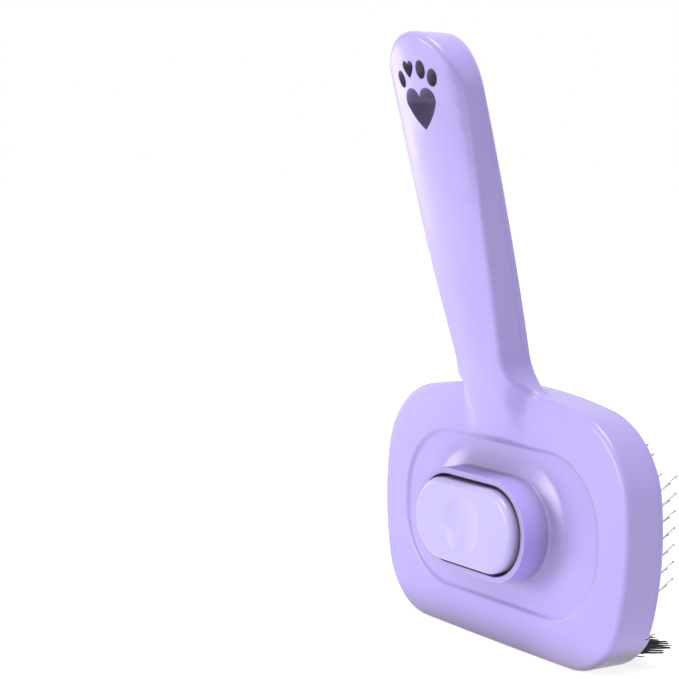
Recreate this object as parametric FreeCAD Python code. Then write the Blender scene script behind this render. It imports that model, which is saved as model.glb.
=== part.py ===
import FreeCAD, Part
import math
import os
from FreeCAD import Vector

os.makedirs("parts", exist_ok=True)

# Slicker brush with a push button that slides the face plate along the pins.
# Working frame: origin at the centre of the head's back, X across the head, Y out of the
# pin side, Z up the handle. Everything moves to the final origin at the very end.
# Sizes are in millimetres and angles in degrees.

# Head outline: four long arcs and four corner arcs, all tangent
HEAD_HALF_WIDTH = 57.6
HEAD_UPPER = 38.9
HEAD_LOWER = 38.5
SIDE_ARC = 91.0
UPPER_ARC = 190.0
LOWER_ARC = 2800.0
UPPER_CORNER = 26.8
LOWER_CORNER = 21.5

# Head depths along Y
RIM_Y = 12.0
WALL = 2.4
BACK_WALL = 2.6
BACK_EDGE_ROUND = 1.7

# Handle
NECK_HALF_WIDTH = 11.3
NECK_Z = 49.5
END_HALF_WIDTH = 16.0
END_Z = 124.7
HANDLE_SLOPE = 0.29
HANDLE_BAND = 9.3
HANDLE_ROOT_Z = 22.0
CROWN = 2.2
CROWN_HALF_WIDTH = 16.5
RIDGE_HALF_WIDTH = 9.0
RIDGE_BLEND = 4.5
RIDGE_WIDENS_Z = 36.0
RIDGE_WIDENING = 9.0
BACK_GRID = 3.0
HANDLE_WALL = 1.8
HANDLE_FLOOR = 1.2
COVER_EDGE = 1.8
COVER_LIP = 1.4
COVER_FOOT_INSET = 4.5
HANDLE_EDGE_ROUND = 1.2

# Paw-shaped hang hole
PAD_BELOW_END = 4.3
PAD_HALF_WIDTH = 6.8
PAD_TIP = 7.0
PAD_LOBE = 4.6
SMALL_HEART = (-2.7, 9.9, 2.3, 2.5, 2.2)
TOES = ((-7.0, 7.2, 1.7, 2.4, -16.0), (2.9, 9.6, 2.0, 2.6, 6.0), (7.1, 7.3, 2.0, 2.5, 20.0))
PAW_BOSS = 12.2
PAW_BOSS_RISE = 3.6

# Button, its collar and the dished recess round it
BUTTON_Z = -1.6
COLLAR_HALF_WIDTH = 26.0
COLLAR_HALF_HEIGHT = 15.2
COLLAR_WALL = 1.8
COLLAR_RISE = 10.0
COLLAR_RAMP = 5.0
COLLAR_RAMP_RISE = 1.7
COLLAR_FOOT = 2.5
COLLAR_FLARE = 0.9
COLLAR_FLOOR_BLEND = 7.0
RECESS_HALF_WIDTH = 45.0
RECESS_HALF_HEIGHT = 24.0
RECESS_CORNER = 22.0
RECESS_DEPTH = 0.9
RECESS_SLOPE = 1.2
RECESS_ROUND = 1.2
BUTTON_GAP = 1.0
BUTTON_PROUD = 3.0
BUTTON_WALL = 1.0
BUTTON_TOP = 1.8
BUTTON_SKIRT_GAP = 0.2
BUTTON_ROUND = 1.8
DIMPLE_RADIUS = 8.6
DIMPLE_DEPTH = 1.1
DIMPLE_ROUND = 4.0
TRAVEL = 7.0

# Face plate and slots
PLATE_THICKNESS = 2.2
PLATE_ROUND = 1.9
STRIP_WIDTH = 11.8
SEAM_GAP = 0.3
COLUMN_PITCH = 2.42
GROUP_GAP = 3.8
FIELD_MARGIN = 8.8
SLOT_WIDTH = 1.15
BORDER_SLOT_WIDTH = 1.95
SLOT_LOWER_MARGIN = 7.2
SLOT_UPPER_MARGIN = 8.2
SLOT_ARC = 20.5
SLOT_ARC_MARGIN = 26.0
SKIRT_GAP = 0.3
SKIRT_WALL = 1.2
SKIRT_FLOOR_GAP = 0.8

# Pins
PIN_RADIUS = 0.25
PIN_HOLE_GAP = 0.05
PIN_HEAD_RADIUS = 0.65
PIN_HEAD = 0.3
PIN_HEAD_PLAY = 0.01
PIN_PITCH = 4.9
PIN_FIRST = 1.7
PIN_LAST_MARGIN = 5.2
PIN_OUTER_MARGIN = 12.0
PIN_SLOT_MARGIN = 3.0
OUTER_COLUMNS = 4
KNEE_ABOVE_FACE = 5.4
LONG_TIP_ABOVE_FACE = 11.7
SHORT_TIP_ABOVE_FACE = 10.5
TIP_LEAN = 3.4
LONG_BALL = 0.4
SHORT_BALL = 0.34

# Pin carrier and its backing plate
CARRIER_BELOW_RIM = 1.8
CARRIER_THICKNESS = 2.6
BACKING_THICKNESS = 1.4
PLATE_GAP = 0.4
SCREW_RADIUS = 1.1
SCREW_HEAD_RADIUS = 2.0
SCREW_HEAD = 1.2
SCREW_GAP = 0.1
BOSS_RADIUS = 2.4
LOWER_SCREWS_MARGIN = 13.6
LOWER_SCREWS_ABOVE_SEAM = 6.1
UPPER_SCREWS_MARGIN = 27.6
UPPER_SCREWS_BELOW_EDGE = 6.8

# Push webs, plunger and springs
WEB_WALL = 1.5
WEB_GAP = 0.3
WEB_BOSS_RADIUS = 1.3
WEB_BOSS_GAP = 0.2
WEB_PRESSED_GAP = 3.2
PUSH_SCREW_RADIUS = 0.75
PUSH_SCREW_LENGTH = 10.0
PUSH_SCREW_HEAD_RADIUS = 1.5
PUSH_SCREW_HEAD = 1.1
PLUNGER_GAP = 0.15
PLUNGER_PLATE = 2.0
PLUNGER_WALL = 1.3
PLUNGER_BOSS_RADIUS = 1.95
SPRING_X = 9.0
SPRING_RADIUS = 2.7
SPRING_WIRE = 0.3
SPRING_TURNS = 6
SPRING_PEG_RADIUS = 2.1
SPRING_PEG = 1.5
CAP_PEG_RADIUS = 1.5
CAP_PEG_Z = 6.5
CAP_PEG = 3.4

# Tuft strip and tufts
STRIP_PROUD = 0.7
STRIP_ROUND = 1.8
STRIP_BLOCK_DEPTH = 2.6
CROSS_WALL = 3.0
PEG_RADIUS = 1.5
PEG_DEPTH = 6.0
PEG_COUNT = 4
PEG_MARGIN = 21.6
PEG_BOSS_RADIUS = 2.8
TUFT_PITCH = 4.64
TUFT_RADIUS = 0.95
TUFT_TIP_RADIUS = 1.42
TUFT_LENGTH = 12.6
TUFT_DEPTH = 2.5
TUFT_GAP = 0.05
TUFT_LEAN = 7.0
# each row: distance in from the strip's seam, margin to the head's side, half-pitch stagger
TUFT_ROWS = ((3.0, 10.9, 0.0), (5.3, 13.3, 0.5), (7.4, 20.2, 0.0))

THROUGH = 200.0
TINY = 1e-3
NEARLY = 0.999

# Values that follow from the ones above
FACE_Y = RIM_Y + PLATE_THICKNESS
SEAM_Z = STRIP_WIDTH - HEAD_LOWER
SLOT_START = SEAM_Z + SLOT_LOWER_MARGIN
SLOT_END = HEAD_UPPER - SLOT_UPPER_MARGIN
CARRIER_FRONT_Y = RIM_Y - CARRIER_BELOW_RIM
CARRIER_BACK_Y = CARRIER_FRONT_Y - CARRIER_THICKNESS
BACKING_Y = CARRIER_BACK_Y - BACKING_THICKNESS
BUTTON_FACE_Y = -(COLLAR_RISE + BUTTON_PROUD)
PLUNGER_BACK_Y = BUTTON_FACE_Y + BUTTON_TOP
PLUNGER_FRONT_Y = PLUNGER_BACK_Y + PLUNGER_PLATE
SKIRT_INSET = WALL + SKIRT_GAP
CARRIER_INSET = SKIRT_INSET + SKIRT_WALL + PLATE_GAP
CROSS_TOP = SEAM_Z + CROSS_WALL / 2
CARRIER_LOW = CROSS_TOP + SKIRT_GAP + SKIRT_WALL + PLATE_GAP
PAD_Z = END_Z - PAD_BELOW_END
BUTTON_SKIRT_END = BACK_WALL - TRAVEL - BUTTON_SKIRT_GAP
SKIRT_END_Y = BACK_WALL + SKIRT_FLOOR_GAP
WEB_END_Y = BACKING_Y - TRAVEL - WEB_PRESSED_GAP
STRIP_BLOCK_Y = RIM_Y - STRIP_BLOCK_DEPTH
PEG_END_Y = RIM_Y - PEG_DEPTH

# The push webs stand beside the centre bank of pins and have to come out inside the button
PLUNGER_INSET = COLLAR_WALL + BUTTON_GAP + BUTTON_WALL + PLUNGER_GAP
WEB_X_LIMIT = COLLAR_HALF_WIDTH - PLUNGER_INSET - PLUNGER_BOSS_RADIUS
CENTRE_COLUMNS = 2 * int((WEB_X_LIMIT - GROUP_GAP / 2) / COLUMN_PITCH + 0.5)
CENTRE_HALF = (CENTRE_COLUMNS - 1) * COLUMN_PITCH / 2
WEB_X = CENTRE_HALF + GROUP_GAP / 2


def point(x, z, y=0.0):
    return Vector(x, y, z)


def arc(start, middle, end):
    return Part.Arc(start, middle, end).toShape()


def line(start, end):
    return Part.makeLine(start, end)


def prism(wires, y_from, y_to):
    """Solid between two depths from a closed outline, with any inner outlines as holes."""
    face = Part.makeFace(wires if isinstance(wires, list) else [wires], "Part::FaceMakerBullseye")
    face.translate(Vector(0, y_from, 0))
    return face.extrude(Vector(0, y_to - y_from, 0))


def block(x0, x1, y0, y1, z0, z1):
    return Part.makeBox(x1 - x0, y1 - y0, z1 - z0, Vector(x0, y0, z0))


def rod(radius, x, z, y_from, y_to):
    return Part.makeCylinder(radius, y_to - y_from, Vector(x, y_from, z), Vector(0, 1, 0))


def circle_wire(radius, x, z):
    return Part.Wire(Part.makeCircle(radius, point(x, z), Vector(0, 1, 0)))


def rounded_wire(half_width, half_height, corner, x, z):
    """Closed rectangle outline with round corners; a corner equal to the half height gives a stadium."""
    edges = []
    signs = ((1, 1), (-1, 1), (-1, -1), (1, -1))
    diagonal = corner * math.sqrt(0.5)
    corners = []
    for number, (sx, sz) in enumerate(signs):
        centre_x = x + sx * (half_width - corner)
        centre_z = z + sz * (half_height - corner)
        on_side = point(centre_x + sx * corner, centre_z)
        on_end = point(centre_x, centre_z + sz * corner)
        middle = point(centre_x + sx * diagonal, centre_z + sz * diagonal)
        ends = (on_side, on_end) if number % 2 == 0 else (on_end, on_side)
        corners.append((ends[0], middle, ends[1]))
    for number, (start, middle, end) in enumerate(corners):
        edges.append(arc(start, middle, end))
        following = corners[(number + 1) % 4][0]
        if end.distanceToPoint(following) > TINY:
            edges.append(line(end, following))
    return Part.Wire(edges)


def stadium(half_width, half_height, z):
    return rounded_wire(half_width, half_height, half_height, 0.0, z)


def corner_centre(reach, end_arc, corner):
    """Centre of the corner arc that touches a side arc and an end arc, for a head end at z > 0."""
    side_x = HEAD_HALF_WIDTH - SIDE_ARC
    end_z = reach - end_arc
    to_side = SIDE_ARC - corner
    to_end = end_arc - corner
    apart = math.hypot(side_x, end_z)
    along = (to_side**2 - to_end**2 + apart**2) / (2 * apart)
    across = math.sqrt(to_side**2 - along**2)
    ux, uz = -side_x / apart, end_z / apart
    return side_x + along * ux - across * uz, along * uz + across * ux


def towards(start, through, distance):
    """The (x, z) point at a distance from start on the line through another point."""
    length = math.hypot(through[0] - start[0], through[1] - start[1])
    scale = distance / length
    return start[0] + (through[0] - start[0]) * scale, start[1] + (through[1] - start[1]) * scale


def head_corner(reach, end_arc, corner, inset):
    """Side point, middle and end point of one corner arc at +X, for a head end at z > 0."""
    centre = corner_centre(reach, end_arc, corner)
    side_centre = (HEAD_HALF_WIDTH - SIDE_ARC, 0.0)
    end_centre = (0.0, reach - end_arc)
    on_side = towards(side_centre, centre, SIDE_ARC - inset)
    on_end = towards(end_centre, centre, end_arc - inset)
    half_way = ((on_side[0] + on_end[0]) / 2, (on_side[1] + on_end[1]) / 2)
    middle = towards(centre, half_way, corner - inset)
    return on_side, middle, on_end


def head_points(inset):
    upper = head_corner(HEAD_UPPER, UPPER_ARC, UPPER_CORNER, inset)
    lower = head_corner(HEAD_LOWER, LOWER_ARC, LOWER_CORNER, inset)
    return upper, tuple((x, -z) for x, z in lower)


def head_sides(inset):
    """Edges of the head's outline from the upper end arc's right end round to its left end."""
    upper, lower = head_points(inset)
    side = (HEAD_HALF_WIDTH - inset, 0.0)
    edges = []
    for sign in (1, -1):
        edges.append(arc(*(point(sign * x, z) for x, z in (upper[2], upper[1], upper[0]))))
        edges.append(arc(*(point(sign * x, z) for x, z in (upper[0], side, lower[0]))))
        edges.append(arc(*(point(sign * x, z) for x, z in lower)))
    end = lower[2]
    edges.append(arc(point(end[0], end[1]), point(0, inset - HEAD_LOWER), point(-end[0], end[1])))
    return edges


def head_wire(inset=0.0):
    upper, _ = head_points(inset)
    end = upper[2]
    across = arc(point(end[0], end[1]), point(0, HEAD_UPPER - inset), point(-end[0], end[1]))
    return Part.Wire(Part.__sortEdges__(head_sides(inset) + [across]))


def handle_side(z, inset=0.0):
    """Half width of the handle at a height: an arc that runs smoothly into the round end."""
    widen = END_HALF_WIDTH - NECK_HALF_WIDTH
    radius = (widen**2 + (END_Z - NECK_Z) ** 2) / (2 * widen)
    return END_HALF_WIDTH - radius + math.sqrt((radius - inset) ** 2 - (END_Z - z) ** 2)


def flare():
    """Radius, centre and lower end of the arc that joins the handle's side to the head's upper arc."""
    widen = END_HALF_WIDTH - NECK_HALF_WIDTH
    side_radius = (widen**2 + (END_Z - NECK_Z) ** 2) / (2 * widen)
    sine = (END_Z - NECK_Z) / side_radius
    cosine = math.sqrt(1 - sine**2)
    drop = NECK_Z - HEAD_UPPER + UPPER_ARC
    square = NECK_HALF_WIDTH**2 + drop**2 - UPPER_ARC**2
    radius = square / (2 * (UPPER_ARC - NECK_HALF_WIDTH * cosine + drop * sine))
    centre = (NECK_HALF_WIDTH + radius * cosine, NECK_Z - radius * sine)
    foot = towards((0.0, HEAD_UPPER - UPPER_ARC), centre, UPPER_ARC)
    return radius, centre, foot


def handle_edges():
    """Right flare, right side, end arc, left side and left flare of the handle's outline."""
    radius, centre, foot = flare()
    neck = (NECK_HALF_WIDTH, NECK_Z)
    half_way = ((foot[0] + neck[0]) / 2, (foot[1] + neck[1]) / 2)
    middle = towards(centre, half_way, radius)
    edges = []
    for sign in (1, -1):
        edges.append(arc(*(point(sign * x, z) for x, z in (foot, middle, neck))))
        grip_z = (NECK_Z + END_Z) / 2
        grip = (handle_side(grip_z), grip_z)
        end = (END_HALF_WIDTH, END_Z)
        edges.append(arc(*(point(sign * x, z) for x, z in (neck, grip, end))))
    tip = point(0, END_Z + END_HALF_WIDTH)
    edges.append(arc(point(END_HALF_WIDTH, END_Z), tip, point(-END_HALF_WIDTH, END_Z)))
    return edges


def brush_wire():
    """Outline of the whole brush: the head, the flares and the handle."""
    upper, _ = head_points(0.0)
    _, _, foot = flare()
    arc_centre = (0.0, HEAD_UPPER - UPPER_ARC)
    half_way = ((foot[0] + upper[2][0]) / 2, (foot[1] + upper[2][1]) / 2)
    middle = towards(arc_centre, half_way, UPPER_ARC)
    edges = head_sides(0.0) + handle_edges()
    for sign in (1, -1):
        edges.append(arc(*(point(sign * x, z) for x, z in (foot, middle, upper[2]))))
    return Part.Wire(Part.__sortEdges__(edges))


def pocket_wire(inset, z_from):
    """Outline inside the handle, a constant distance in from its sides and end."""
    middle_z = (z_from + END_Z) / 2
    side = (handle_side(middle_z, inset), middle_z)
    end = (END_HALF_WIDTH - inset, END_Z)
    neck = (handle_side(z_from, inset), z_from)
    right = arc(point(*neck), point(*side), point(*end))
    left = arc(point(-neck[0], neck[1]), point(-side[0], side[1]), point(-end[0], end[1]))
    over = arc(point(*end), point(0, END_Z + END_HALF_WIDTH - inset), point(-end[0], end[1]))
    across = line(point(*neck), point(-neck[0], neck[1]))
    return Part.Wire(Part.__sortEdges__([right, over, left, across]))


def smooth(t):
    t = min(max(t, 0.0), 1.0)
    return t * t * t * (t * (6 * t - 15) + 10)


def back_depth(x, z):
    """Y of the brush's back: flat on the head, rising into the crowned handle that leans back."""
    rise = HANDLE_SLOPE * max(z - HANDLE_ROOT_Z, 0.0)
    crown = CROWN * smooth((z - HANDLE_ROOT_Z) / (NECK_Z - HANDLE_ROOT_Z))
    crown *= 1 - (x / CROWN_HALF_WIDTH) ** 2
    widen = smooth((z - RIDGE_WIDENS_Z) / RIDGE_WIDENING)
    full = RIDGE_HALF_WIDTH + (CROWN_HALF_WIDTH - RIDGE_HALF_WIDTH) * widen
    return -(rise + crown) * (1 - smooth((abs(x) - full) / RIDGE_BLEND))


def back_slab():
    """Everything in front of the brush's smooth back surface."""
    step = BACK_GRID
    across = math.ceil((HEAD_HALF_WIDTH + step) / step)
    low = math.ceil((HEAD_LOWER + step) / step)
    high = math.ceil((END_Z + END_HALF_WIDTH + step) / step)
    poles = []
    for column in range(-across, across + 1):
        x = column * step
        poles.append([point(x, row * step, back_depth(x, row * step)) for row in range(-low, high + 1)])
    knots_x = list(range(len(poles) - 2))
    knots_z = list(range(len(poles[0]) - 2))
    surface = Part.BSplineSurface()
    surface.buildFromPolesMultsKnots(
        poles,
        [4] + [1] * (len(knots_x) - 2) + [4],
        [4] + [1] * (len(knots_z) - 2) + [4],
        knots_x,
        knots_z,
        False,
        False,
        3,
        3,
    )
    return surface.toShape().extrude(Vector(0, THROUGH, 0))


def handle_plane_y(z):
    """Y of the handle's back edge, where its crown has run out."""
    return -HANDLE_SLOPE * (z - HANDLE_ROOT_Z)


def lean_block(offset, depth, z_from, z_to):
    """Slanted block that starts a distance in front of the handle's back edge."""
    corners = []
    for z, shift in ((z_from, 0.0), (z_to, 0.0), (z_to, depth), (z_from, depth)):
        corners.append(Vector(-THROUGH / 2, handle_plane_y(z) + offset + shift, z))
    face = Part.Face(Part.makePolygon(corners + corners[:1]))
    return face.extrude(Vector(THROUGH, 0, 0))


def crown_rod():
    """Long round bar whose surface is the handle's crowned front."""
    radius = (CROWN_HALF_WIDTH**2 + CROWN**2) / (2 * CROWN)
    lean = Vector(0, -HANDLE_SLOPE, 1)
    z_from = 0.0
    leaning_radius = radius * math.hypot(1, HANDLE_SLOPE)
    start = Vector(0, handle_plane_y(z_from) + HANDLE_BAND + CROWN - leaning_radius, z_from)
    bar = Part.makeCylinder(radius, THROUGH, start, lean)
    bar.rotate(start, lean, 180)
    return bar


def brush_body():
    """Solid blank of the whole brush with its back and handle edges rounded."""
    blank = prism(brush_wire(), -THROUGH / 3, RIM_Y).common(back_slab())
    blank = blank.makeFillet(BACK_EDGE_ROUND, curved_face_edges(blank, is_front=False))
    in_front = lean_block(HANDLE_BAND / 2, THROUGH / 2, 0.0, THROUGH).cut(crown_rod())
    in_front = in_front.cut(prism(head_wire(), -THROUGH, THROUGH))
    return blank.cut(in_front)


def curved_face_edges(shape, is_front):
    """Edges of the large curved face that looks forward or back."""
    side = 1 if is_front else -1
    faces = [face for face in shape.Faces if side * face.normalAt(*middle_of(face)).y > 0.7]
    return max(faces, key=lambda face: face.Area).Edges


def middle_of(face):
    low_u, high_u, low_v, high_v = face.ParameterRange
    return (low_u + high_u) / 2, (low_v + high_v) / 2


def heart_wire(x, z, half_width, tip, lobe):
    """Closed heart with its point towards -Z and its notch at the middle of its lobes."""
    edges = []
    for sign in (1, -1):
        notch = point(x, z + lobe * 0.45)
        top = point(x + sign * half_width * 0.52, z + lobe)
        side = point(x + sign * half_width, z + lobe * 0.1)
        point_down = point(x, z - tip)
        belly = point(x + sign * half_width * 0.62, z - tip * 0.48)
        edges.append(arc(notch, top, side))
        edges.append(arc(side, belly, point_down))
    return Part.Wire(Part.__sortEdges__(edges))


def toe_wire(x, z, half_width, half_height, turn):
    ellipse = Part.Ellipse(Vector(0, 0, 0), half_height, half_width).toShape()
    wire = Part.Wire(ellipse)
    wire.rotate(Vector(0, 0, 0), Vector(1, 0, 0), 90)
    wire.rotate(Vector(0, 0, 0), Vector(0, 1, 0), 90 + turn)
    wire.translate(point(x, z))
    return wire


def paw_cutter():
    """Through-cut of the hang hole: a heart-shaped pad, a small heart and three toes."""
    x, rise, half_width, tip, lobe = SMALL_HEART
    wires = [heart_wire(0.0, PAD_Z, PAD_HALF_WIDTH, PAD_TIP, PAD_LOBE)]
    wires.append(heart_wire(x, PAD_Z + rise, half_width, tip, lobe))
    for x, rise, half_width, half_height, turn in TOES:
        wires.append(toe_wire(x, PAD_Z + rise, half_width, half_height, turn))
    return Part.makeCompound([prism(wire, -THROUGH, THROUGH) for wire in wires])


def cover_region():
    """Space of the handle's front cover: outside the head, with blunt ends at the flares."""
    foot_x = flare()[2][0] - COVER_FOOT_INSET
    region = lean_block(HANDLE_BAND - COVER_EDGE, THROUGH / 2, 0.0, THROUGH)
    region = region.cut(prism(head_wire(-SEAM_GAP / 2), -THROUGH, THROUGH))
    region = region.cut(block(foot_x, THROUGH, -THROUGH, THROUGH, 0.0, NECK_Z))
    return region.cut(block(-THROUGH, -foot_x, -THROUGH, THROUGH, 0.0, NECK_Z))


def handle_pocket(extra, depth_from, depth_to):
    """Hollow of the handle between two slanted depths, clear of the boss round the hang hole."""
    tall = prism(pocket_wire(HANDLE_WALL + extra, NECK_Z + extra), -THROUGH, THROUGH)
    tall = tall.cut(rod(PAW_BOSS + extra, 0, PAD_Z + PAW_BOSS_RISE, -THROUGH, THROUGH))
    return tall.common(lean_block(depth_from, depth_to - depth_from, 0.0, THROUGH))


def screw_places():
    """Three screws above the seam and three that follow the head's upper arc."""
    low = SEAM_Z + LOWER_SCREWS_ABOVE_SEAM
    low_x = HEAD_HALF_WIDTH - LOWER_SCREWS_MARGIN
    high_x = HEAD_HALF_WIDTH - UPPER_SCREWS_MARGIN
    places = [(x, low) for x in (-low_x, 0.0, low_x)]
    for x in (-high_x, 0.0, high_x):
        edge = HEAD_UPPER - UPPER_ARC + math.sqrt(UPPER_ARC**2 - x**2)
        places.append((x, edge - UPPER_SCREWS_BELOW_EDGE))
    return places


def peg_places():
    z = (SEAM_Z - CROSS_WALL / 2 - HEAD_LOWER + WALL) / 2
    last = HEAD_HALF_WIDTH - PEG_MARGIN
    return [(last * (2 * number / (PEG_COUNT - 1) - 1), z) for number in range(PEG_COUNT)]


def collar_size(inset):
    return COLLAR_HALF_WIDTH - inset, COLLAR_HALF_HEIGHT - inset


def rear_shell(body):
    shell = body.copy().cut(cover_region())
    shell = shell.cut(handle_pocket(0.0, HANDLE_FLOOR, HANDLE_BAND))
    shell = shell.cut(paw_cutter())
    shell = with_recess(shell).fuse(collar())
    cavity = prism(head_wire(WALL), BACK_WALL, THROUGH)
    cavity = cavity.cut(block(-THROUGH, THROUGH, 0, THROUGH, CROSS_TOP - CROSS_WALL, CROSS_TOP))
    shell = shell.cut(cavity)
    shell = shell.cut(prism(stadium(*collar_size(COLLAR_WALL), BUTTON_Z), -THROUGH, THROUGH))
    bosses = [rod(BOSS_RADIUS, x, z, BACK_WALL / 2, BACKING_Y) for x, z in screw_places()]
    bosses += [rod(PEG_BOSS_RADIUS, x, z, BACK_WALL / 2, STRIP_BLOCK_Y) for x, z in peg_places()]
    shell = shell.fuse(bosses)
    holes = [rod(SCREW_RADIUS + SCREW_GAP, x, z, BACK_WALL, RIM_Y) for x, z in screw_places()]
    holes += [rod(PEG_RADIUS + SCREW_GAP, x, z, PEG_END_Y - SCREW_GAP, RIM_Y) for x, z in peg_places()]
    return shell.cut(holes).removeSplitter()


def recess_wire(extra):
    """Outline of the recess round the button, grown by a width on all sides."""
    sizes = (RECESS_HALF_WIDTH + extra, RECESS_HALF_HEIGHT + extra, RECESS_CORNER + extra)
    return rounded_wire(*sizes, 0.0, BUTTON_Z)


def with_recess(shell):
    """The shell with its shallow recess round the button, its edges rounded."""
    wide = recess_wire(1.5 * RECESS_SLOPE)
    cutter = slope(wide, -RECESS_DEPTH, recess_wire(-0.5 * RECESS_SLOPE), RECESS_DEPTH)
    shell = shell.cut(cutter)
    room = cutter.BoundBox
    room.enlarge(TINY)
    inside = [face for face in shell.Faces if room.isInside(face.BoundBox)]
    floor = max(inside, key=lambda face: face.Area)
    walls = [face for face in inside if face is not floor]
    edges = [edge for face in walls for edge in face.Edges if edge.Length > 2 * RECESS_DEPTH]
    return shell.makeFillet(RECESS_ROUND, edges)


def collar():
    """Collar round the button, on a low ramp that blends into the floor of the recess."""
    outline = stadium(*collar_size(0.0), BUTTON_Z)
    ramp_foot = stadium(*collar_size(-COLLAR_RAMP), BUTTON_Z)
    floor = stadium(*collar_size(-COLLAR_RAMP - COLLAR_FOOT), BUTTON_Z)
    ramp_top = RECESS_DEPTH - COLLAR_RAMP_RISE
    joined = prism(outline, -COLLAR_RISE, BACK_WALL).fuse(prism(floor, RECESS_DEPTH, BACK_WALL))
    joined = joined.fuse(slope(ramp_foot, RECESS_DEPTH, outline, ramp_top)).removeSplitter()
    joined = joined.makeFillet(COLLAR_FLARE, level_edges(joined, ramp_top, outline))
    return joined.makeFillet(COLLAR_FLOOR_BLEND, level_edges(joined, RECESS_DEPTH, ramp_foot))


def slope(wide, y_wide, narrow, y_narrow):
    """Solid between two outlines at two depths."""
    wires = [wide.copy(), narrow.copy()]
    wires[0].translate(Vector(0, y_wide, 0))
    wires[1].translate(Vector(0, y_narrow, 0))
    return Part.makeLoft(wires, True, True)


def level_edges(shape, y, outline):
    """Edges that lie at one depth and inside an outline's box."""
    flat = outline.BoundBox
    room = FreeCAD.BoundBox(flat.XMin, y, flat.ZMin, flat.XMax, y, flat.ZMax)
    room.enlarge(TINY)
    return [edge for edge in shape.Edges if room.isInside(edge.BoundBox)]


def handle_cover(body):
    cover = body.copy().common(cover_region())
    outline = curved_face_edges(cover, is_front=True)
    sides = [edge for edge in outline if edge.BoundBox.ZMax > NECK_Z - SEAM_GAP]
    cover = cover.makeFillet(HANDLE_EDGE_ROUND, sides)
    lip = handle_pocket(SEAM_GAP / 2, HANDLE_BAND - COVER_EDGE - COVER_LIP, HANDLE_BAND - COVER_EDGE)
    inner = handle_pocket(SEAM_GAP / 2 + COVER_LIP, 0.0, THROUGH / 4)
    return cover.fuse(lip.cut(inner)).cut(paw_cutter()).removeSplitter()


def column_places():
    """X of every pin column, its number and whether it borders a group's gap."""
    last = HEAD_HALF_WIDTH - FIELD_MARGIN
    first_side = CENTRE_HALF + GROUP_GAP
    side_columns = int((last - first_side) / COLUMN_PITCH) + 1
    left = [-first_side - COLUMN_PITCH * (side_columns - 1 - number) for number in range(side_columns)]
    centre = [COLUMN_PITCH * number - CENTRE_HALF for number in range(CENTRE_COLUMNS)]
    right = [-x for x in reversed(left)]
    border = {left[-1], centre[0], centre[-1], right[0]}
    banks = ("left",) * side_columns + ("centre",) * CENTRE_COLUMNS + ("right",) * side_columns
    return [(x, bank, x in border) for x, bank in zip(left + centre + right, banks)]


def slot_top(x):
    """Upper end of the slot at x: level in the middle and rounded off towards the sides."""
    beyond = abs(x) - (HEAD_HALF_WIDTH - SLOT_ARC_MARGIN)
    if beyond <= 0:
        return SLOT_END
    return SLOT_END - SLOT_ARC + math.sqrt(max(SLOT_ARC**2 - beyond**2, 0.0))


def slot_wires():
    wires = []
    for x, _, border in column_places():
        half = (BORDER_SLOT_WIDTH if border else SLOT_WIDTH) / 2
        middle = (SLOT_START + slot_top(x)) / 2
        reach = (slot_top(x) - SLOT_START) / 2
        wires.append(rounded_wire(half, reach, half * NEARLY, x, middle))
    return wires


def web_boss_places():
    """Places of the push webs' screw bosses, midway between the staggered pins beside them."""
    first = SLOT_START + PIN_FIRST + PIN_PITCH / 4
    steps = round((BUTTON_Z - PIN_PITCH / 2 - first) / (PIN_PITCH / 2))
    low = first + steps * PIN_PITCH / 2
    return [(x, z) for x in (-WEB_X, WEB_X) for z in (low, low + PIN_PITCH)]


def web_parts(gap, boss_gap, y_from, y_to):
    """The two push webs with their bosses, or the clearance cut for them."""
    places = web_boss_places()
    parts = [rod(WEB_BOSS_RADIUS + boss_gap, x, z, y_from, y_to) for x, z in places]
    half = WEB_WALL / 2 + gap
    for x in (-WEB_X, WEB_X):
        parts.append(block(x - half, x + half, y_from, y_to, places[0][1], places[1][1]))
    return parts


def face_plate():
    plate = prism(head_wire(), RIM_Y, FACE_Y)
    front = [edge for edge in plate.Edges if edge.BoundBox.YMin > FACE_Y - TINY]
    plate = plate.makeFillet(PLATE_ROUND, front)
    skirt = prism([head_wire(SKIRT_INSET), head_wire(SKIRT_INSET + SKIRT_WALL)], SKIRT_END_Y, RIM_Y)
    skirt_low = CROSS_TOP + SKIRT_GAP
    keep = block(-THROUGH, THROUGH, 0, THROUGH, skirt_low, THROUGH)
    inside = prism(head_wire(SKIRT_INSET), SKIRT_END_Y, RIM_Y)
    skirt = skirt.common(keep)
    lower_wall = inside.common(block(-THROUGH, THROUGH, 0, THROUGH, skirt_low, skirt_low + SKIRT_WALL))
    plate = plate.common(block(-THROUGH, THROUGH, 0, THROUGH, SEAM_Z + SEAM_GAP / 2, THROUGH))
    plate = plate.fuse([skirt, lower_wall] + web_parts(0.0, 0.0, WEB_END_Y, RIM_Y + PLATE_THICKNESS / 2))
    slots = Part.makeCompound([prism(wire, RIM_Y, FACE_Y + 1) for wire in slot_wires()])
    plate = plate.cut(slots)
    pilot = WEB_END_Y + PUSH_SCREW_LENGTH
    holes = [rod(PUSH_SCREW_RADIUS + PIN_HOLE_GAP, x, z, WEB_END_Y, pilot) for x, z in web_boss_places()]
    return plate.cut(holes).removeSplitter()


def pin_places():
    """Every pin's column x, root z, bank and whether it is a long one."""
    places = []
    columns = column_places()
    for number, (x, bank, _) in enumerate(columns):
        outer = min(number, len(columns) - 1 - number) < OUTER_COLUMNS
        last_tip = SLOT_END - (PIN_OUTER_MARGIN if outer else PIN_LAST_MARGIN)
        last_tip = min(last_tip, slot_top(x) - PIN_SLOT_MARGIN)
        z = SLOT_START + PIN_FIRST + (number % 2) * PIN_PITCH / 2
        while z + TIP_LEAN <= last_tip:
            places.append((x, z, bank, number // 2 % 2 == 1))
            z += PIN_PITCH
    return places


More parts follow.
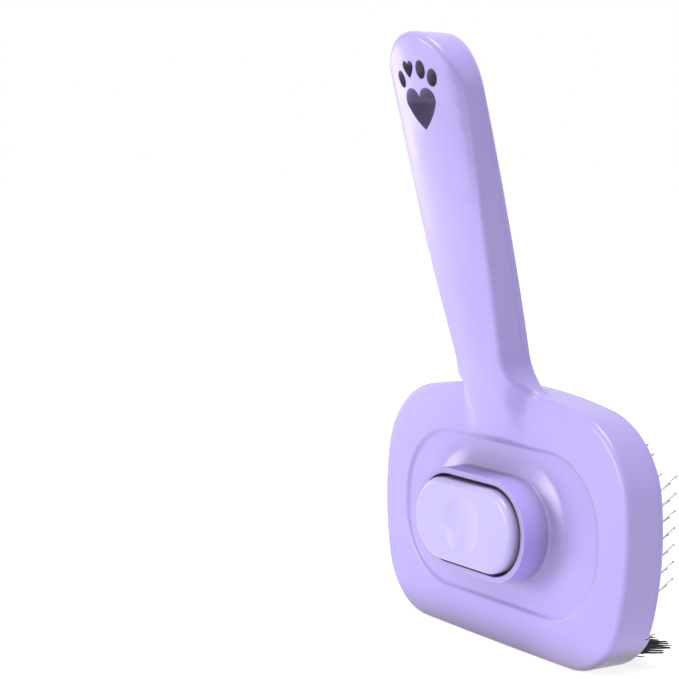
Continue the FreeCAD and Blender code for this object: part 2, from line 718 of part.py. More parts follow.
def pin_shape(tip_above_face, ball):
    """One bent wire pin at x = z = 0: head, straight shank, knee, leaning tip and ball."""
    knee = Vector(0, FACE_Y + KNEE_ABOVE_FACE, 0)
    tip = Vector(0, FACE_Y + tip_above_face, TIP_LEAN)
    lean = tip - knee
    shank = rod(PIN_RADIUS, 0, 0, CARRIER_BACK_Y, knee.y)
    head = rod(PIN_HEAD_RADIUS, 0, 0, CARRIER_BACK_Y, CARRIER_BACK_Y + PIN_HEAD)
    leaning = Part.makeCylinder(PIN_RADIUS, lean.Length, knee, lean)
    parts = [head, Part.makeSphere(PIN_RADIUS, knee), leaning, Part.makeSphere(ball, tip)]
    return shank.fuse(parts).removeSplitter()


def pins():
    shapes = {
        True: pin_shape(LONG_TIP_ABOVE_FACE, LONG_BALL),
        False: pin_shape(SHORT_TIP_ABOVE_FACE, SHORT_BALL),
    }
    banks = {}
    for x, z, bank, is_long in pin_places():
        copy = shapes[is_long].copy()
        copy.translate(point(x, z))
        banks.setdefault(f"pins_{bank}_{'long' if is_long else 'short'}", []).append(copy)
    return {name: Part.makeCompound(group) for name, group in banks.items()}


def carrier_blank(holes, y_from, y_to):
    plate = prism([head_wire(CARRIER_INSET)] + holes, y_from, y_to)
    return plate.common(block(-THROUGH, THROUGH, -THROUGH, THROUGH, CARRIER_LOW, THROUGH))


def pin_carrier():
    roots = [(x, z) for x, z, _, _ in pin_places()]
    wide = [circle_wire(PIN_HEAD_RADIUS + PIN_HOLE_GAP, x, z) for x, z in roots]
    narrow = [circle_wire(PIN_RADIUS + PIN_HOLE_GAP, x, z) for x, z in roots]
    screws = [circle_wire(SCREW_RADIUS + SCREW_GAP, x, z) for x, z in screw_places()]
    layer = CARRIER_BACK_Y + PIN_HEAD + PIN_HEAD_PLAY
    rear = carrier_blank(wide + screws, CARRIER_BACK_Y, layer)
    front = carrier_blank(narrow + screws, layer, CARRIER_FRONT_Y)
    return rear.fuse(front).cut(web_parts(WEB_GAP, WEB_BOSS_GAP, 0.0, RIM_Y))


def pin_backing_plate():
    screws = [circle_wire(SCREW_RADIUS + SCREW_GAP, x, z) for x, z in screw_places()]
    plate = carrier_blank(screws, BACKING_Y, CARRIER_BACK_Y)
    pegs = [rod(SPRING_PEG_RADIUS, x, BUTTON_Z, BACKING_Y - SPRING_PEG, BACKING_Y) for x in spring_places()]
    return plate.cut(web_parts(WEB_GAP, WEB_BOSS_GAP, 0.0, RIM_Y)).fuse(pegs)


def carrier_screws():
    screws = []
    for x, z in screw_places():
        shank = rod(SCREW_RADIUS, x, z, BACK_WALL + SCREW_GAP, CARRIER_FRONT_Y)
        screws.append(shank.fuse(screw_head(x, z)).removeSplitter())
    return Part.makeCompound(screws)


def screw_head(x, z):
    head = rod(SCREW_HEAD_RADIUS, x, z, CARRIER_FRONT_Y, CARRIER_FRONT_Y + SCREW_HEAD)
    half = SCREW_HEAD_RADIUS * 0.6
    width = SCREW_HEAD_RADIUS * 0.14
    deep = CARRIER_FRONT_Y + SCREW_HEAD / 2
    over = CARRIER_FRONT_Y + 2 * SCREW_HEAD
    cross = [block(x - half, x + half, deep, over, z - width, z + width)]
    cross.append(block(x - width, x + width, deep, over, z - half, z + half))
    return head.cut(cross)


def spring_places():
    return (-SPRING_X, SPRING_X)


def plunger():
    size = collar_size(PLUNGER_INSET)
    outside = prism(stadium(*size, BUTTON_Z), PLUNGER_BACK_Y, WEB_END_Y)
    body = prism(stadium(*size, BUTTON_Z), PLUNGER_BACK_Y, BUTTON_SKIRT_END)
    hollow = (size[0] - PLUNGER_WALL, size[1] - PLUNGER_WALL)
    body = body.cut(prism(stadium(*hollow, BUTTON_Z), PLUNGER_FRONT_Y, RIM_Y))
    adds = [rod(PLUNGER_BOSS_RADIUS, x, z, PLUNGER_FRONT_Y - 1, WEB_END_Y) for x, z in web_boss_places()]
    pegs_to = PLUNGER_FRONT_Y + SPRING_PEG
    adds += [rod(SPRING_PEG_RADIUS, x, BUTTON_Z, PLUNGER_FRONT_Y - 1, pegs_to) for x in spring_places()]
    body = body.fuse(adds).common(outside)
    cuts = []
    for x, z in web_boss_places():
        cuts.append(rod(PUSH_SCREW_RADIUS + PIN_HOLE_GAP, x, z, PLUNGER_BACK_Y, RIM_Y))
        counterbore = PLUNGER_BACK_Y + PUSH_SCREW_HEAD + PIN_HOLE_GAP
        cuts.append(rod(PUSH_SCREW_HEAD_RADIUS + SCREW_GAP, x, z, PLUNGER_BACK_Y, counterbore))
    cuts += [rod(CAP_PEG_RADIUS + PIN_HOLE_GAP, 0, z, PLUNGER_BACK_Y, RIM_Y) for z in cap_peg_places()]
    return body.cut(cuts).removeSplitter()


def cap_peg_places():
    return (BUTTON_Z - CAP_PEG_Z, BUTTON_Z + CAP_PEG_Z)


def plunger_screws():
    """Pan-head screws from the plunger's back into the webs' bosses."""
    screws = []
    under = PLUNGER_BACK_Y + PUSH_SCREW_HEAD + PIN_HOLE_GAP
    for x, z in web_boss_places():
        shank = rod(PUSH_SCREW_RADIUS, x, z, under, WEB_END_Y + PUSH_SCREW_LENGTH - 1)
        head = rod(PUSH_SCREW_HEAD_RADIUS, x, z, under - PUSH_SCREW_HEAD, under)
        screws.append(shank.fuse(head).removeSplitter())
    return Part.makeCompound(screws)


def button_cap():
    size = collar_size(COLLAR_WALL + BUTTON_GAP)
    cap = prism(stadium(*size, BUTTON_Z), BUTTON_FACE_Y, BUTTON_SKIRT_END)
    rim = [edge for edge in cap.Edges if edge.BoundBox.YMax < BUTTON_FACE_Y + TINY]
    cap = cap.makeFillet(BUTTON_ROUND, rim)
    inner = (size[0] - BUTTON_WALL, size[1] - BUTTON_WALL)
    cap = cap.cut(prism(stadium(*inner, BUTTON_Z), PLUNGER_BACK_Y, RIM_Y))
    dish = (DIMPLE_RADIUS**2 + DIMPLE_DEPTH**2) / (2 * DIMPLE_DEPTH)
    centre = point(0, BUTTON_Z, BUTTON_FACE_Y + DIMPLE_DEPTH - dish)
    cap = cap.cut(Part.makeSphere(dish, centre, Vector(0, 0, 1)))
    brim = level_edges(cap, BUTTON_FACE_Y, circle_wire(DIMPLE_RADIUS, 0, BUTTON_Z))
    cap = cap.makeFillet(DIMPLE_ROUND, brim)
    pegs_to = PLUNGER_BACK_Y + CAP_PEG
    pegs = [rod(CAP_PEG_RADIUS, 0, z, PLUNGER_BACK_Y - BUTTON_TOP / 3, pegs_to) for z in cap_peg_places()]
    return cap.fuse(pegs).removeSplitter()


def return_spring(x):
    """Coil spring between the plunger and the backing plate."""
    low = PLUNGER_FRONT_Y + SPRING_WIRE
    high = BACKING_Y - SPRING_WIRE
    path = Part.makeHelix((high - low) / SPRING_TURNS, high - low, SPRING_RADIUS)
    profile = Part.Wire(Part.makeCircle(SPRING_WIRE, Vector(SPRING_RADIUS, 0, 0), Vector(0, 1, 0)))
    coil = Part.Wire(path).makePipeShell([profile], True, True)
    coil.rotate(Vector(0, 0, 0), Vector(1, 0, 0), -90)
    coil.translate(Vector(x, low, BUTTON_Z))
    return Part.Solid(coil) if coil.ShapeType != "Solid" else coil


def tuft_places(row):
    inset, margin, stagger = row
    last = HEAD_HALF_WIDTH - margin
    count = int(last / TUFT_PITCH - stagger)
    steps = [number + stagger for number in range(count + 1)]
    places = sorted({sign * step * TUFT_PITCH for step in steps for sign in (1, -1)})
    return [(x, SEAM_Z - inset) for x in places]


def tuft_shape(radius, tip_radius, length, seat):
    """One tuft on the Y axis, in its own leaning direction, with its base at the hole's floor."""
    profile = [Vector(0, 0, 0), Vector(radius, 0, 0), Vector(radius, seat, 0)]
    profile += [Vector(tip_radius, seat + length, 0), Vector(0, seat + length, 0), Vector(0, 0, 0)]
    solid = Part.Face(Part.makePolygon(profile)).revolve(Vector(0, 0, 0), Vector(0, 1, 0), 360)
    solid.rotate(Vector(0, 0, 0), Vector(1, 0, 0), -TUFT_LEAN)
    return solid


def tuft_row(row):
    shape = tuft_shape(TUFT_RADIUS, TUFT_TIP_RADIUS, TUFT_LENGTH, TUFT_DEPTH)
    floor = FACE_Y + STRIP_PROUD - TUFT_DEPTH
    tufts = []
    for x, z in tuft_places(row):
        copy = shape.copy()
        copy.translate(point(x, z, floor))
        tufts.append(copy)
    return Part.makeCompound(tufts)


def tuft_strip():
    top = FACE_Y + STRIP_PROUD
    strip = prism(head_wire(), RIM_Y, top)
    front = [edge for edge in strip.Edges if edge.BoundBox.YMin > top - TINY]
    strip = strip.makeFillet(STRIP_ROUND, front)
    strip = strip.common(block(-THROUGH, THROUGH, 0, THROUGH, -THROUGH, SEAM_Z - SEAM_GAP / 2))
    low = CROSS_TOP - CROSS_WALL - SEAM_GAP
    inner = prism(head_wire(WALL + SEAM_GAP), STRIP_BLOCK_Y, RIM_Y)
    strip = strip.fuse(inner.common(block(-THROUGH, THROUGH, 0, THROUGH, -THROUGH, low)))
    strip = strip.fuse([rod(PEG_RADIUS, x, z, PEG_END_Y, STRIP_BLOCK_Y + 1) for x, z in peg_places()])
    hole = tuft_shape(TUFT_RADIUS + TUFT_GAP, TUFT_RADIUS + TUFT_GAP, TUFT_LENGTH, TUFT_DEPTH)
    holes = []
    for row in TUFT_ROWS:
        for x, z in tuft_places(row):
            copy = hole.copy()
            copy.translate(point(x, z, top - TUFT_DEPTH))
            holes.append(copy)
    return strip.cut(Part.makeCompound(holes)).removeSplitter()


def all_nodes():
    body = brush_body()
    nodes = {
        "rear_shell": rear_shell(body),
        "handle_cover": handle_cover(body),
        "pin_carrier": pin_carrier(),
        "pin_backing_plate": pin_backing_plate(),
        "carrier_screws": carrier_screws(),
        "face_plate": face_plate(),
        "plunger": plunger(),
        "plunger_screws": plunger_screws(),
        "button_cap": button_cap(),
        "return_spring_left": return_spring(-SPRING_X),
        "return_spring_right": return_spring(SPRING_X),
        "tuft_strip": tuft_strip(),
    }
    nodes.update(pins())
    for number, row in enumerate(TUFT_ROWS, 1):
        nodes[f"tufts_row_{number}"] = tuft_row(row)
    return nodes


def bottom_centre(nodes):
    """Centre of the bottom of the box round every node."""
    box = FreeCAD.BoundBox()
    for shape in nodes.values():
        box.add(shape.optimalBoundingBox(False))
    return Vector(box.Center.x, box.Center.y, box.ZMin)


def main():
    nodes = all_nodes()
    origin = bottom_centre(nodes)
    for name, shape in nodes.items():
        shape.translate(-origin)
        shape.exportStep(f"parts/{name}.step")
        solids = shape.Solids
        volume = sum(solid.Volume for solid in solids)
        print(f"{name}: {len(solids)} solids, {volume:.1f} mm3, valid {shape.isValid()}")
    print("origin in the working frame:", origin)
    print("pins:", len(pin_places()), "columns:", len(column_places()))
    print("button face centre:", point(0, BUTTON_Z, BUTTON_FACE_Y) - origin)
    print("hang hole centre:", point(0, PAD_Z, handle_plane_y(PAD_Z) + HANDLE_BAND / 2) - origin)
    print("spring seat on the backing plate, y:", BACKING_Y - origin.y)


main()
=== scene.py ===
import math
import random

import bmesh
import bpy
from mathutils import Matrix, Vector


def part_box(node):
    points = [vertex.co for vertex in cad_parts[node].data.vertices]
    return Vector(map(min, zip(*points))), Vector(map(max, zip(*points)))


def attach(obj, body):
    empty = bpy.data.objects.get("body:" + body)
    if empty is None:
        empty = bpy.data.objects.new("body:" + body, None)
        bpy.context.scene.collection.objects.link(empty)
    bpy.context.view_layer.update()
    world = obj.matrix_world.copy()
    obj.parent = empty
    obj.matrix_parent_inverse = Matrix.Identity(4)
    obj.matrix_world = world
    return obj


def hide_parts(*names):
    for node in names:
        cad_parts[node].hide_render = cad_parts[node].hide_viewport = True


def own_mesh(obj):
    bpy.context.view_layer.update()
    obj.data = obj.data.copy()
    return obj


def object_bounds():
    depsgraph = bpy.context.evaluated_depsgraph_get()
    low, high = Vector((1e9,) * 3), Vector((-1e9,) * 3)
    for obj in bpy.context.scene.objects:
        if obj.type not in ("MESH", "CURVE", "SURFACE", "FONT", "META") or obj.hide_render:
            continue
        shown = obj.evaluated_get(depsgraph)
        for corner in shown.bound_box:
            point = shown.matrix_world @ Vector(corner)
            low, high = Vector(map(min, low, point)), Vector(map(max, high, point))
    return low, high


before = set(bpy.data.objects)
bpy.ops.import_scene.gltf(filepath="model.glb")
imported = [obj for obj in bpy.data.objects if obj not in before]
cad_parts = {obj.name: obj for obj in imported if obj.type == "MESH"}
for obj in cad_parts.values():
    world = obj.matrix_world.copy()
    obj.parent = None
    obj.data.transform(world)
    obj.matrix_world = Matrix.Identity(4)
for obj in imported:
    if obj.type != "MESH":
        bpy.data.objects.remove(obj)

# A self-cleaning slicker brush: lavender moulded ABS shells and button, bent steel pins with
# bead tips that stand through a slotted face plate, and a strip of black nylon tufts.

MM = 0.001
cad_box = [list(corner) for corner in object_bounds()]
random.seed(11)


# ---- Materials ----

def linear(hex_colour):
    """Linear RGBA of an sRGB hex colour."""
    parts = [int(hex_colour[start:start + 2], 16) / 255 for start in (0, 2, 4)]
    return [part / 12.92 if part <= 0.04045 else ((part + 0.055) / 1.055) ** 2.4 for part in parts] + [1.0]


def add(tree, kind, inputs=None, **settings):
    """Adds a node with its settings, and gives each input a value or the socket that feeds it."""
    node = tree.nodes.new(kind)
    for name, value in settings.items():
        setattr(node, name, value)
    for name, value in (inputs or {}).items():
        if isinstance(value, bpy.types.NodeSocket):
            tree.links.new(value, node.inputs[name])
        else:
            node.inputs[name].default_value = value
    return node


def new_material(name):
    """An empty node material and its tree."""
    made = bpy.data.materials.new(name)
    made.use_nodes = True
    made.node_tree.nodes.clear()
    return made, made.node_tree


def moulded_abs(name, colour, deeper, painted_shade, roughness, grain):
    """ABS from a spark-eroded mould: even colour, satin sheen, softly rounded edges, a fine grain, and
    painted shade in its recesses.
    """
    made, tree = new_material(name)
    place = add(tree, "ShaderNodeTexCoord").outputs["Object"]
    # the pigment is a little uneven where the melt flowed, over about 30 mm
    flow = add(tree, "ShaderNodeTexNoise", {"Vector": place, "Scale": 1 / (30 * MM), "Detail": 2.0})
    spread = add(
        tree, "ShaderNodeMapRange",
        {"Value": flow.outputs["Fac"], "From Min": 0.35, "From Max": 0.65},
    )
    tint = add(
        tree, "ShaderNodeMix",
        {0: spread.outputs["Result"], 6: linear(colour), 7: linear(deeper)}, data_type="RGBA",
    )
    # painted shade: recesses and holes, found by ambient occlusion within 11 mm, are mixed towards a
    # darker, greyer colour
    openness = add(tree, "ShaderNodeAmbientOcclusion", {"Distance": 11 * MM}, samples=8)
    outside_painted_shade = add(
        tree, "ShaderNodeMapRange",
        {"Value": openness.outputs["AO"], "From Min": 0.5, "From Max": 0.95},
    )
    surface = add(
        tree, "ShaderNodeMix",
        {0: outside_painted_shade.outputs["Result"], 6: linear(painted_shade), 7: tint.outputs[2]}, data_type="RGBA",
    )
    # the satin changes slightly where the mould was polished, over about 9 mm
    polish = add(tree, "ShaderNodeTexNoise", {"Vector": place, "Scale": 1 / (9 * MM), "Detail": 3.0})
    sheen = add(
        tree, "ShaderNodeMapRange",
        {"Value": polish.outputs["Fac"], "To Min": roughness - 0.04, "To Max": roughness + 0.04},
    )
    # the real grain is about 0.1 mm and is drawn at 0.5 mm so that it shows
    pits = add(tree, "ShaderNodeTexNoise", {"Vector": place, "Scale": 1 / (0.5 * MM), "Detail": 2.0})
    soft_edge = add(tree, "ShaderNodeBevel", {"Radius": 0.3 * MM}, samples=4)
    bump = add(
        tree, "ShaderNodeBump",
        {"Strength": grain, "Distance": 0.02 * MM, "Height": pits.outputs["Fac"],
         "Normal": soft_edge.outputs["Normal"]},
    )
    shader = add(
        tree, "ShaderNodeBsdfPrincipled",
        {"Base Color": surface.outputs[2], "Roughness": sheen.outputs["Result"],
         "Normal": bump.outputs["Normal"], "IOR": 1.53},
    )
    add(tree, "ShaderNodeOutputMaterial", {"Surface": shader.outputs["BSDF"]})
    return made


def drawn_steel(name, colour, darker, roughness):
    """Drawn or plated steel: bright, with fine streaks along Y."""
    made, tree = new_material(name)
    place = add(tree, "ShaderNodeTexCoord").outputs["Object"]
    # streaks are about 0.1 mm wide and 4 mm long
    along = add(
        tree, "ShaderNodeMapping",
        {"Vector": place, "Scale": (1 / (0.1 * MM), 1 / (4 * MM), 1 / (0.1 * MM))},
    )
    streaks = add(
        tree, "ShaderNodeTexNoise",
        {"Vector": along.outputs["Vector"], "Scale": 1.0, "Detail": 2.0},
    )
    tint = add(
        tree, "ShaderNodeMix",
        {0: streaks.outputs["Fac"], 6: linear(colour), 7: linear(darker)}, data_type="RGBA",
    )
    dull = add(
        tree, "ShaderNodeMapRange",
        {"Value": streaks.outputs["Fac"], "To Min": roughness - 0.08, "To Max": roughness + 0.08},
    )
    bump = add(
        tree, "ShaderNodeBump",
        {"Strength": 0.2, "Distance": 0.005 * MM, "Height": streaks.outputs["Fac"]},
    )
    shader = add(
        tree, "ShaderNodeBsdfPrincipled",
        {"Base Color": tint.outputs[2], "Metallic": 1.0, "Roughness": dull.outputs["Result"],
         "Normal": bump.outputs["Normal"]},
    )
    add(tree, "ShaderNodeOutputMaterial", {"Surface": shader.outputs["BSDF"]})
    return made


def dipped_bead(name, colour, deeper):
    """Epoxy bead left by dipping a wire tip: pale and glossy, thicker in places."""
    made, tree = new_material(name)
    place = add(tree, "ShaderNodeTexCoord").outputs["Object"]
    # the dip is uneven over about 0.6 mm
    runs = add(tree, "ShaderNodeTexNoise", {"Vector": place, "Scale": 1 / (0.6 * MM), "Detail": 1.0})
    tint = add(
        tree, "ShaderNodeMix",
        {0: runs.outputs["Fac"], 6: linear(colour), 7: linear(deeper)}, data_type="RGBA",
    )
    shader = add(
        tree, "ShaderNodeBsdfPrincipled",
        {"Base Color": tint.outputs[2], "Roughness": 0.22, "IOR": 1.55},
    )
    add(tree, "ShaderNodeOutputMaterial", {"Surface": shader.outputs["BSDF"]})
    return made


def extruded_nylon(name, colour, paler):
    """Nylon 6 filament, dyed black and extruded: smooth and faintly waxy, paler where it is scuffed."""
    made, tree = new_material(name)
    place = add(tree, "ShaderNodeTexCoord").outputs["Object"]
    # scuffs are about 0.8 mm across and drawn out along the filaments
    along = add(
        tree, "ShaderNodeMapping",
        {"Vector": place, "Scale": (1 / (0.8 * MM), 1 / (5 * MM), 1 / (0.8 * MM))},
    )
    scuff = add(
        tree, "ShaderNodeTexNoise",
        {"Vector": along.outputs["Vector"], "Scale": 1.0, "Detail": 2.0},
    )
    tint = add(
        tree, "ShaderNodeMix",
        {0: scuff.outputs["Fac"], 6: linear(colour), 7: linear(paler)}, data_type="RGBA",
    )
    waxy = add(
        tree, "ShaderNodeMapRange",
        {"Value": scuff.outputs["Fac"], "To Min": 0.42, "To Max": 0.6},
    )
    shader = add(
        tree, "ShaderNodeBsdfPrincipled",
        {"Base Color": tint.outputs[2], "Roughness": waxy.outputs["Result"], "IOR": 1.53,
         "Specular IOR Level": 0.3},
    )
    add(tree, "ShaderNodeOutputMaterial", {"Surface": shader.outputs["BSDF"]})
    return made


# the shells are an even lavender; the button is a shade paler; the parts inside are darker and duller; the
# fourth colour of each is the painted shade of its recesses and holes
shell_abs = moulded_abs("satin_lavender_abs", "C0B0F6", "BCABF3", "9488A2", 0.30, 0.08)
button_abs = moulded_abs("satin_pale_lavender_abs", "CCC0F8", "C8BCF6", "A79BBB", 0.29, 0.06)
inner_abs = moulded_abs("dark_lavender_abs", "6E6592", "665D8A", "544D70", 0.50, 0.15)
# bright wire for the pins; greyer zinc on the screws; dull spring steel in the coils
pin_steel = drawn_steel("drawn_stainless_wire", "D2D2D6", "B4B4B9", 0.30)
screw_steel = drawn_steel("zinc_plated_steel", "B4B6BC", "9A9CA3", 0.34)
spring_wire = drawn_steel("drawn_spring_steel", "A3A4A8", "85868B", 0.32)
# near-white beads on the wire tips
pin_bead = dipped_bead("dipped_epoxy_bead", "F1F0F4", "E2E1E8")
# nearly black filaments
black_nylon = extruded_nylon("extruded_black_nylon", "0A0A0C", "19191C")


# ---- Moulded pieces from the frame ----

SHARP_ABOVE = math.radians(28.0)
WELD_WITHIN = 0.002 * MM


def finish_moulding(node, material):
    """Gives a frame piece its material and an even shading that breaks only at its real edges."""
    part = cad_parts[node]
    part.data.materials.clear()
    part.data.materials.append(material)
    part.data.polygons.foreach_set("use_smooth", [True] * len(part.data.polygons))
    weld = part.modifiers.new("joined_faces", "WELD")
    weld.merge_threshold = WELD_WITHIN
    edges = part.modifiers.new("real_edges", "EDGE_SPLIT")
    edges.split_angle = SHARP_ABOVE
    edges.use_edge_sharp = False
    even = part.modifiers.new("even_shading", "WEIGHTED_NORMAL")
    even.keep_sharp = False


for node in ("rear_shell", "handle_cover", "face_plate", "tuft_strip"):
    finish_moulding(node, shell_abs)
finish_moulding("button_cap", button_abs)
for node in ("pin_carrier", "pin_backing_plate", "plunger"):
    finish_moulding(node, inner_abs)
for node in ("carrier_screws", "plunger_screws"):
    finish_moulding(node, screw_steel)


# ---- Pins, bristles and springs ----

def add_piece(name, mesh, materials, slot, *stands_for):
    """Makes a piece of the brush's body that stands for some frame pieces."""
    for material in materials:
        mesh.materials.append(material)
    mesh.polygons.foreach_set("use_smooth", [True] * len(mesh.polygons))
    made = bpy.data.objects.new(name, mesh)
    bpy.context.scene.collection.objects.link(made)
    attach(made, "brush_body")
    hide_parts(*stands_for)
    return made


def finished_mesh(bm, name):
    """The mesh of a finished shape, with its faces turned outwards."""
    bmesh.ops.recalc_face_normals(bm, faces=bm.faces[:])
    mesh = bpy.data.meshes.new(name)
    bm.to_mesh(mesh)
    bm.free()
    return mesh


def ring_matrix(path, number, radius):
    """Place of a wire's ring at one point of a path that has no sideways turns."""
    before = path[max(number - 1, 0)]
    after = path[min(number + 1, len(path) - 1)]
    ahead = (after - before).normalized()
    side = Vector((1, 0, 0))
    up = ahead.cross(side)
    turn = Matrix((side, up, ahead)).transposed().to_4x4()
    return Matrix.Translation(path[number]) @ turn @ Matrix.Scale(radius, 4)


def draw_wire(bm, path, radii, sides):
    """A round wire along a path, drawn out ring by ring and closed at both ends."""
    ring = bmesh.ops.create_circle(bm, cap_ends=True, radius=1.0, segments=sides)["verts"]
    edges = list({edge for vert in ring for edge in vert.link_edges})
    place = ring_matrix(path, 0, radii[0])
    bmesh.ops.transform(bm, matrix=place, verts=ring)
    for number in range(1, len(path)):
        made = bmesh.ops.extrude_edge_only(bm, edges=edges)["geom"]
        ring = [item for item in made if isinstance(item, bmesh.types.BMVert)]
        edges = [item for item in made if isinstance(item, bmesh.types.BMEdge)]
        following = ring_matrix(path, number, radii[number])
        bmesh.ops.transform(bm, matrix=following @ place.inverted(), verts=ring)
        place = following
    bmesh.ops.contextual_create(bm, geom=edges)


def repeated(template, places, name):
    """One mesh of a template copied to each place."""
    bm = bmesh.new()
    for place in places:
        copy = template.copy()
        copy.transform(place)
        bm.from_mesh(copy)
        bpy.data.meshes.remove(copy)
    return finished_mesh(bm, name)


def clusters(points, axis, gap):
    """Points in groups that lie more than a gap apart along an axis."""
    groups = []
    for point in sorted(points, key=lambda item: item[axis]):
        if groups and point[axis] - groups[-1][-1][axis] < gap:
            groups[-1].append(point)
        else:
            groups.append([point])
    return groups


def middle(points, axis):
    """Halfway between the first and the last of some points along an axis."""
    values = [point[axis] for point in points]
    return (min(values) + max(values)) / 2


def pin_roots(node):
    """(x, z) of every pin of a node, from the flat backs of their heads."""
    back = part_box(node)[0].y
    heads = [vert.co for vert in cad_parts[node].data.vertices if vert.co.y < back + 0.01 * MM]
    return [
        (middle(head, 0), middle(head, 2))
        for column in clusters(heads, 0, 0.6 * MM)
        for head in clusters(column, 2, 1.0 * MM)
    ]


PIN_RADIUS = 0.2 * MM
PIN_LEAN = 3.4 * MM
PIN_SIDES = 6
KNEE_BELOW_TIP = {"long": 6.3 * MM, "short": 5.1 * MM}
BEAD_RADIUS = {"long": 0.4 * MM, "short": 0.34 * MM}


def pin_template(node, kind):
    """A bent pin at x = z = 0: straight shank, bowed knee, leaning tip and its bead."""
    low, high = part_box(node)
    tip = Vector((0, high.y - BEAD_RADIUS[kind], PIN_LEAN))
    knee = Vector((0, tip.y - KNEE_BELOW_TIP[kind], 0))
    lean = (tip - knee).normalized()
    path = [
        Vector((0, low.y, 0)),
        knee - Vector((0, 0.7 * MM, 0)),
        knee + Vector((0, -0.15 * MM, 0.06 * MM)),
        knee + lean * 0.6 * MM,
        tip,
    ]
    bm = bmesh.new()
    draw_wire(bm, path, [PIN_RADIUS] * len(path), PIN_SIDES)
    shank_faces = set(bm.faces)
    bmesh.ops.create_uvsphere(
        bm, u_segments=8, v_segments=5, radius=BEAD_RADIUS[kind], matrix=Matrix.Translation(tip)
    )
    for face in bm.faces:
        face.material_index = 0 if face in shank_faces else 1
    return finished_mesh(bm, kind + "_pin")


for side in ("left", "centre", "right"):
    for kind in ("long", "short"):
        node = "pins_" + side + "_" + kind
        places = [Matrix.Translation((x, 0, z)) for x, z in pin_roots(node)]
        mesh = repeated(pin_template(node, kind), places, node + "_wires")
        add_piece(node + "_wires", mesh, [pin_steel, pin_bead], "steel_pins", node)


TUFT_HOLE = 0.95 * MM
TUFT_LEAN = math.radians(7.0)
TUFT_SPLAY = 0.9 * MM
TUFT_SPACE = 0.8 * MM
FILAMENTS = 11
FILAMENT_RADIUS = 0.21 * MM
FILAMENT_SIDES = 5
FILAMENT_BOW = 0.35 * MM
GOLDEN_ANGLE = 2.39996


def filament_template(length):
    """One filament along +Y from the tuft's seat, thinner and slightly bowed towards its tip."""
    path = [Vector((0, length * share, FILAMENT_BOW * share**2)) for share in (0.0, 0.35, 0.7, 1.0)]
    bm = bmesh.new()
    draw_wire(bm, path, [FILAMENT_RADIUS * share for share in (1.0, 1.0, 0.95, 0.8)], FILAMENT_SIDES)
    return finished_mesh(bm, "filament")


def tuft_filaments(x, floor, z, length):
    """Places of the filaments of one tuft, packed in its hole and fanned out above it."""
    places = []
    for number in range(FILAMENTS):
        share = math.sqrt((number + 0.5) / FILAMENTS)
        angle = number * GOLDEN_ANGLE + random.uniform(-0.3, 0.3)
        reach = share * (TUFT_HOLE - FILAMENT_RADIUS * 1.2)
        fan = share * TUFT_SPLAY * random.uniform(0.6, 1.25)
        lean_x = math.cos(angle) * fan / length
        lean_z = math.sin(angle) * fan / length
        foot = Vector((x + math.cos(angle) * reach, floor, z + math.sin(angle) * reach))
        turn = Matrix.Rotation(-lean_x, 4, "Z") @ Matrix.Rotation(lean_z - TUFT_LEAN, 4, "X")
        spin = Matrix.Rotation(random.uniform(0, math.tau), 4, "Y")
        trim = Matrix.Diagonal((1, random.uniform(0.955, 0.995), 1, 1))
        places.append(Matrix.Translation(foot) @ turn @ spin @ trim)
    return places


for number in (1, 2, 3):
    node = "tufts_row_" + str(number)
    low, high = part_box(node)
    floor = low.y + TUFT_HOLE * math.sin(TUFT_LEAN)
    root_z = high.z - TUFT_HOLE * math.cos(TUFT_LEAN)
    length = (high.y - floor) / math.cos(TUFT_LEAN) - 0.25 * MM
    tufts = clusters([vert.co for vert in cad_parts[node].data.vertices], 0, TUFT_SPACE)
    template = filament_template(length)
    places = []
    for tuft in tufts:
        places += tuft_filaments(middle(tuft, 0), floor, root_z, length)
    mesh = repeated(template, places, node + "_filaments")
    add_piece(node + "_filaments", mesh, [black_nylon], "nylon_black", node)


SPRING_WIRE = 0.3 * MM
SPRING_TURNS = 6
STEPS_IN_TURN = 20


def coil_spring(node, name):
    """A round-wire coil that fills its place between the plunger and the backing plate."""
    low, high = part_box(node)
    x, z = (low.x + high.x) / 2, (low.z + high.z) / 2
    coil_radius = (high.x - low.x) / 2 - SPRING_WIRE
    rise = high.y - low.y - 2 * SPRING_WIRE
    steps = SPRING_TURNS * STEPS_IN_TURN
    bm = bmesh.new()
    place = Matrix.Translation((x + coil_radius, low.y + SPRING_WIRE, z))
    ring = bmesh.ops.create_circle(bm, cap_ends=True, radius=SPRING_WIRE, segments=8, matrix=place)["verts"]
    bmesh.ops.spin(
        bm, geom=bm.faces[:] + bm.edges[:] + ring, cent=(x, 0, z), axis=(0, 1, 0),
        dvec=(0, rise / steps, 0), angle=math.tau * SPRING_TURNS, steps=steps, use_duplicate=False,
    )
    bmesh.ops.remove_doubles(bm, verts=bm.verts[:], dist=0.001 * MM)
    made = add_piece(name, finished_mesh(bm, name), [spring_wire], "spring_steel", node)
    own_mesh(made)


for side in ("left", "right"):
    coil_spring("return_spring_" + side, "coil_" + side)


# ---- Studio ----

def seen_directly(tree):
    """1 for rays from the camera, from glossy surfaces and through clear ones, and 0 for the rest."""
    ray = add(tree, "ShaderNodeLightPath")
    shine = add(
        tree, "ShaderNodeMath",
        {0: ray.outputs["Is Camera Ray"], 1: ray.outputs["Is Glossy Ray"]}, operation="MAXIMUM",
    )
    both = add(
        tree, "ShaderNodeMath",
        {0: shine.outputs[0], 1: ray.outputs["Is Transmission Ray"]}, operation="MAXIMUM",
    )
    return both.outputs[0]


FLOOR_RADIUS = 6.0
FLOOR_GLOW = 0.8


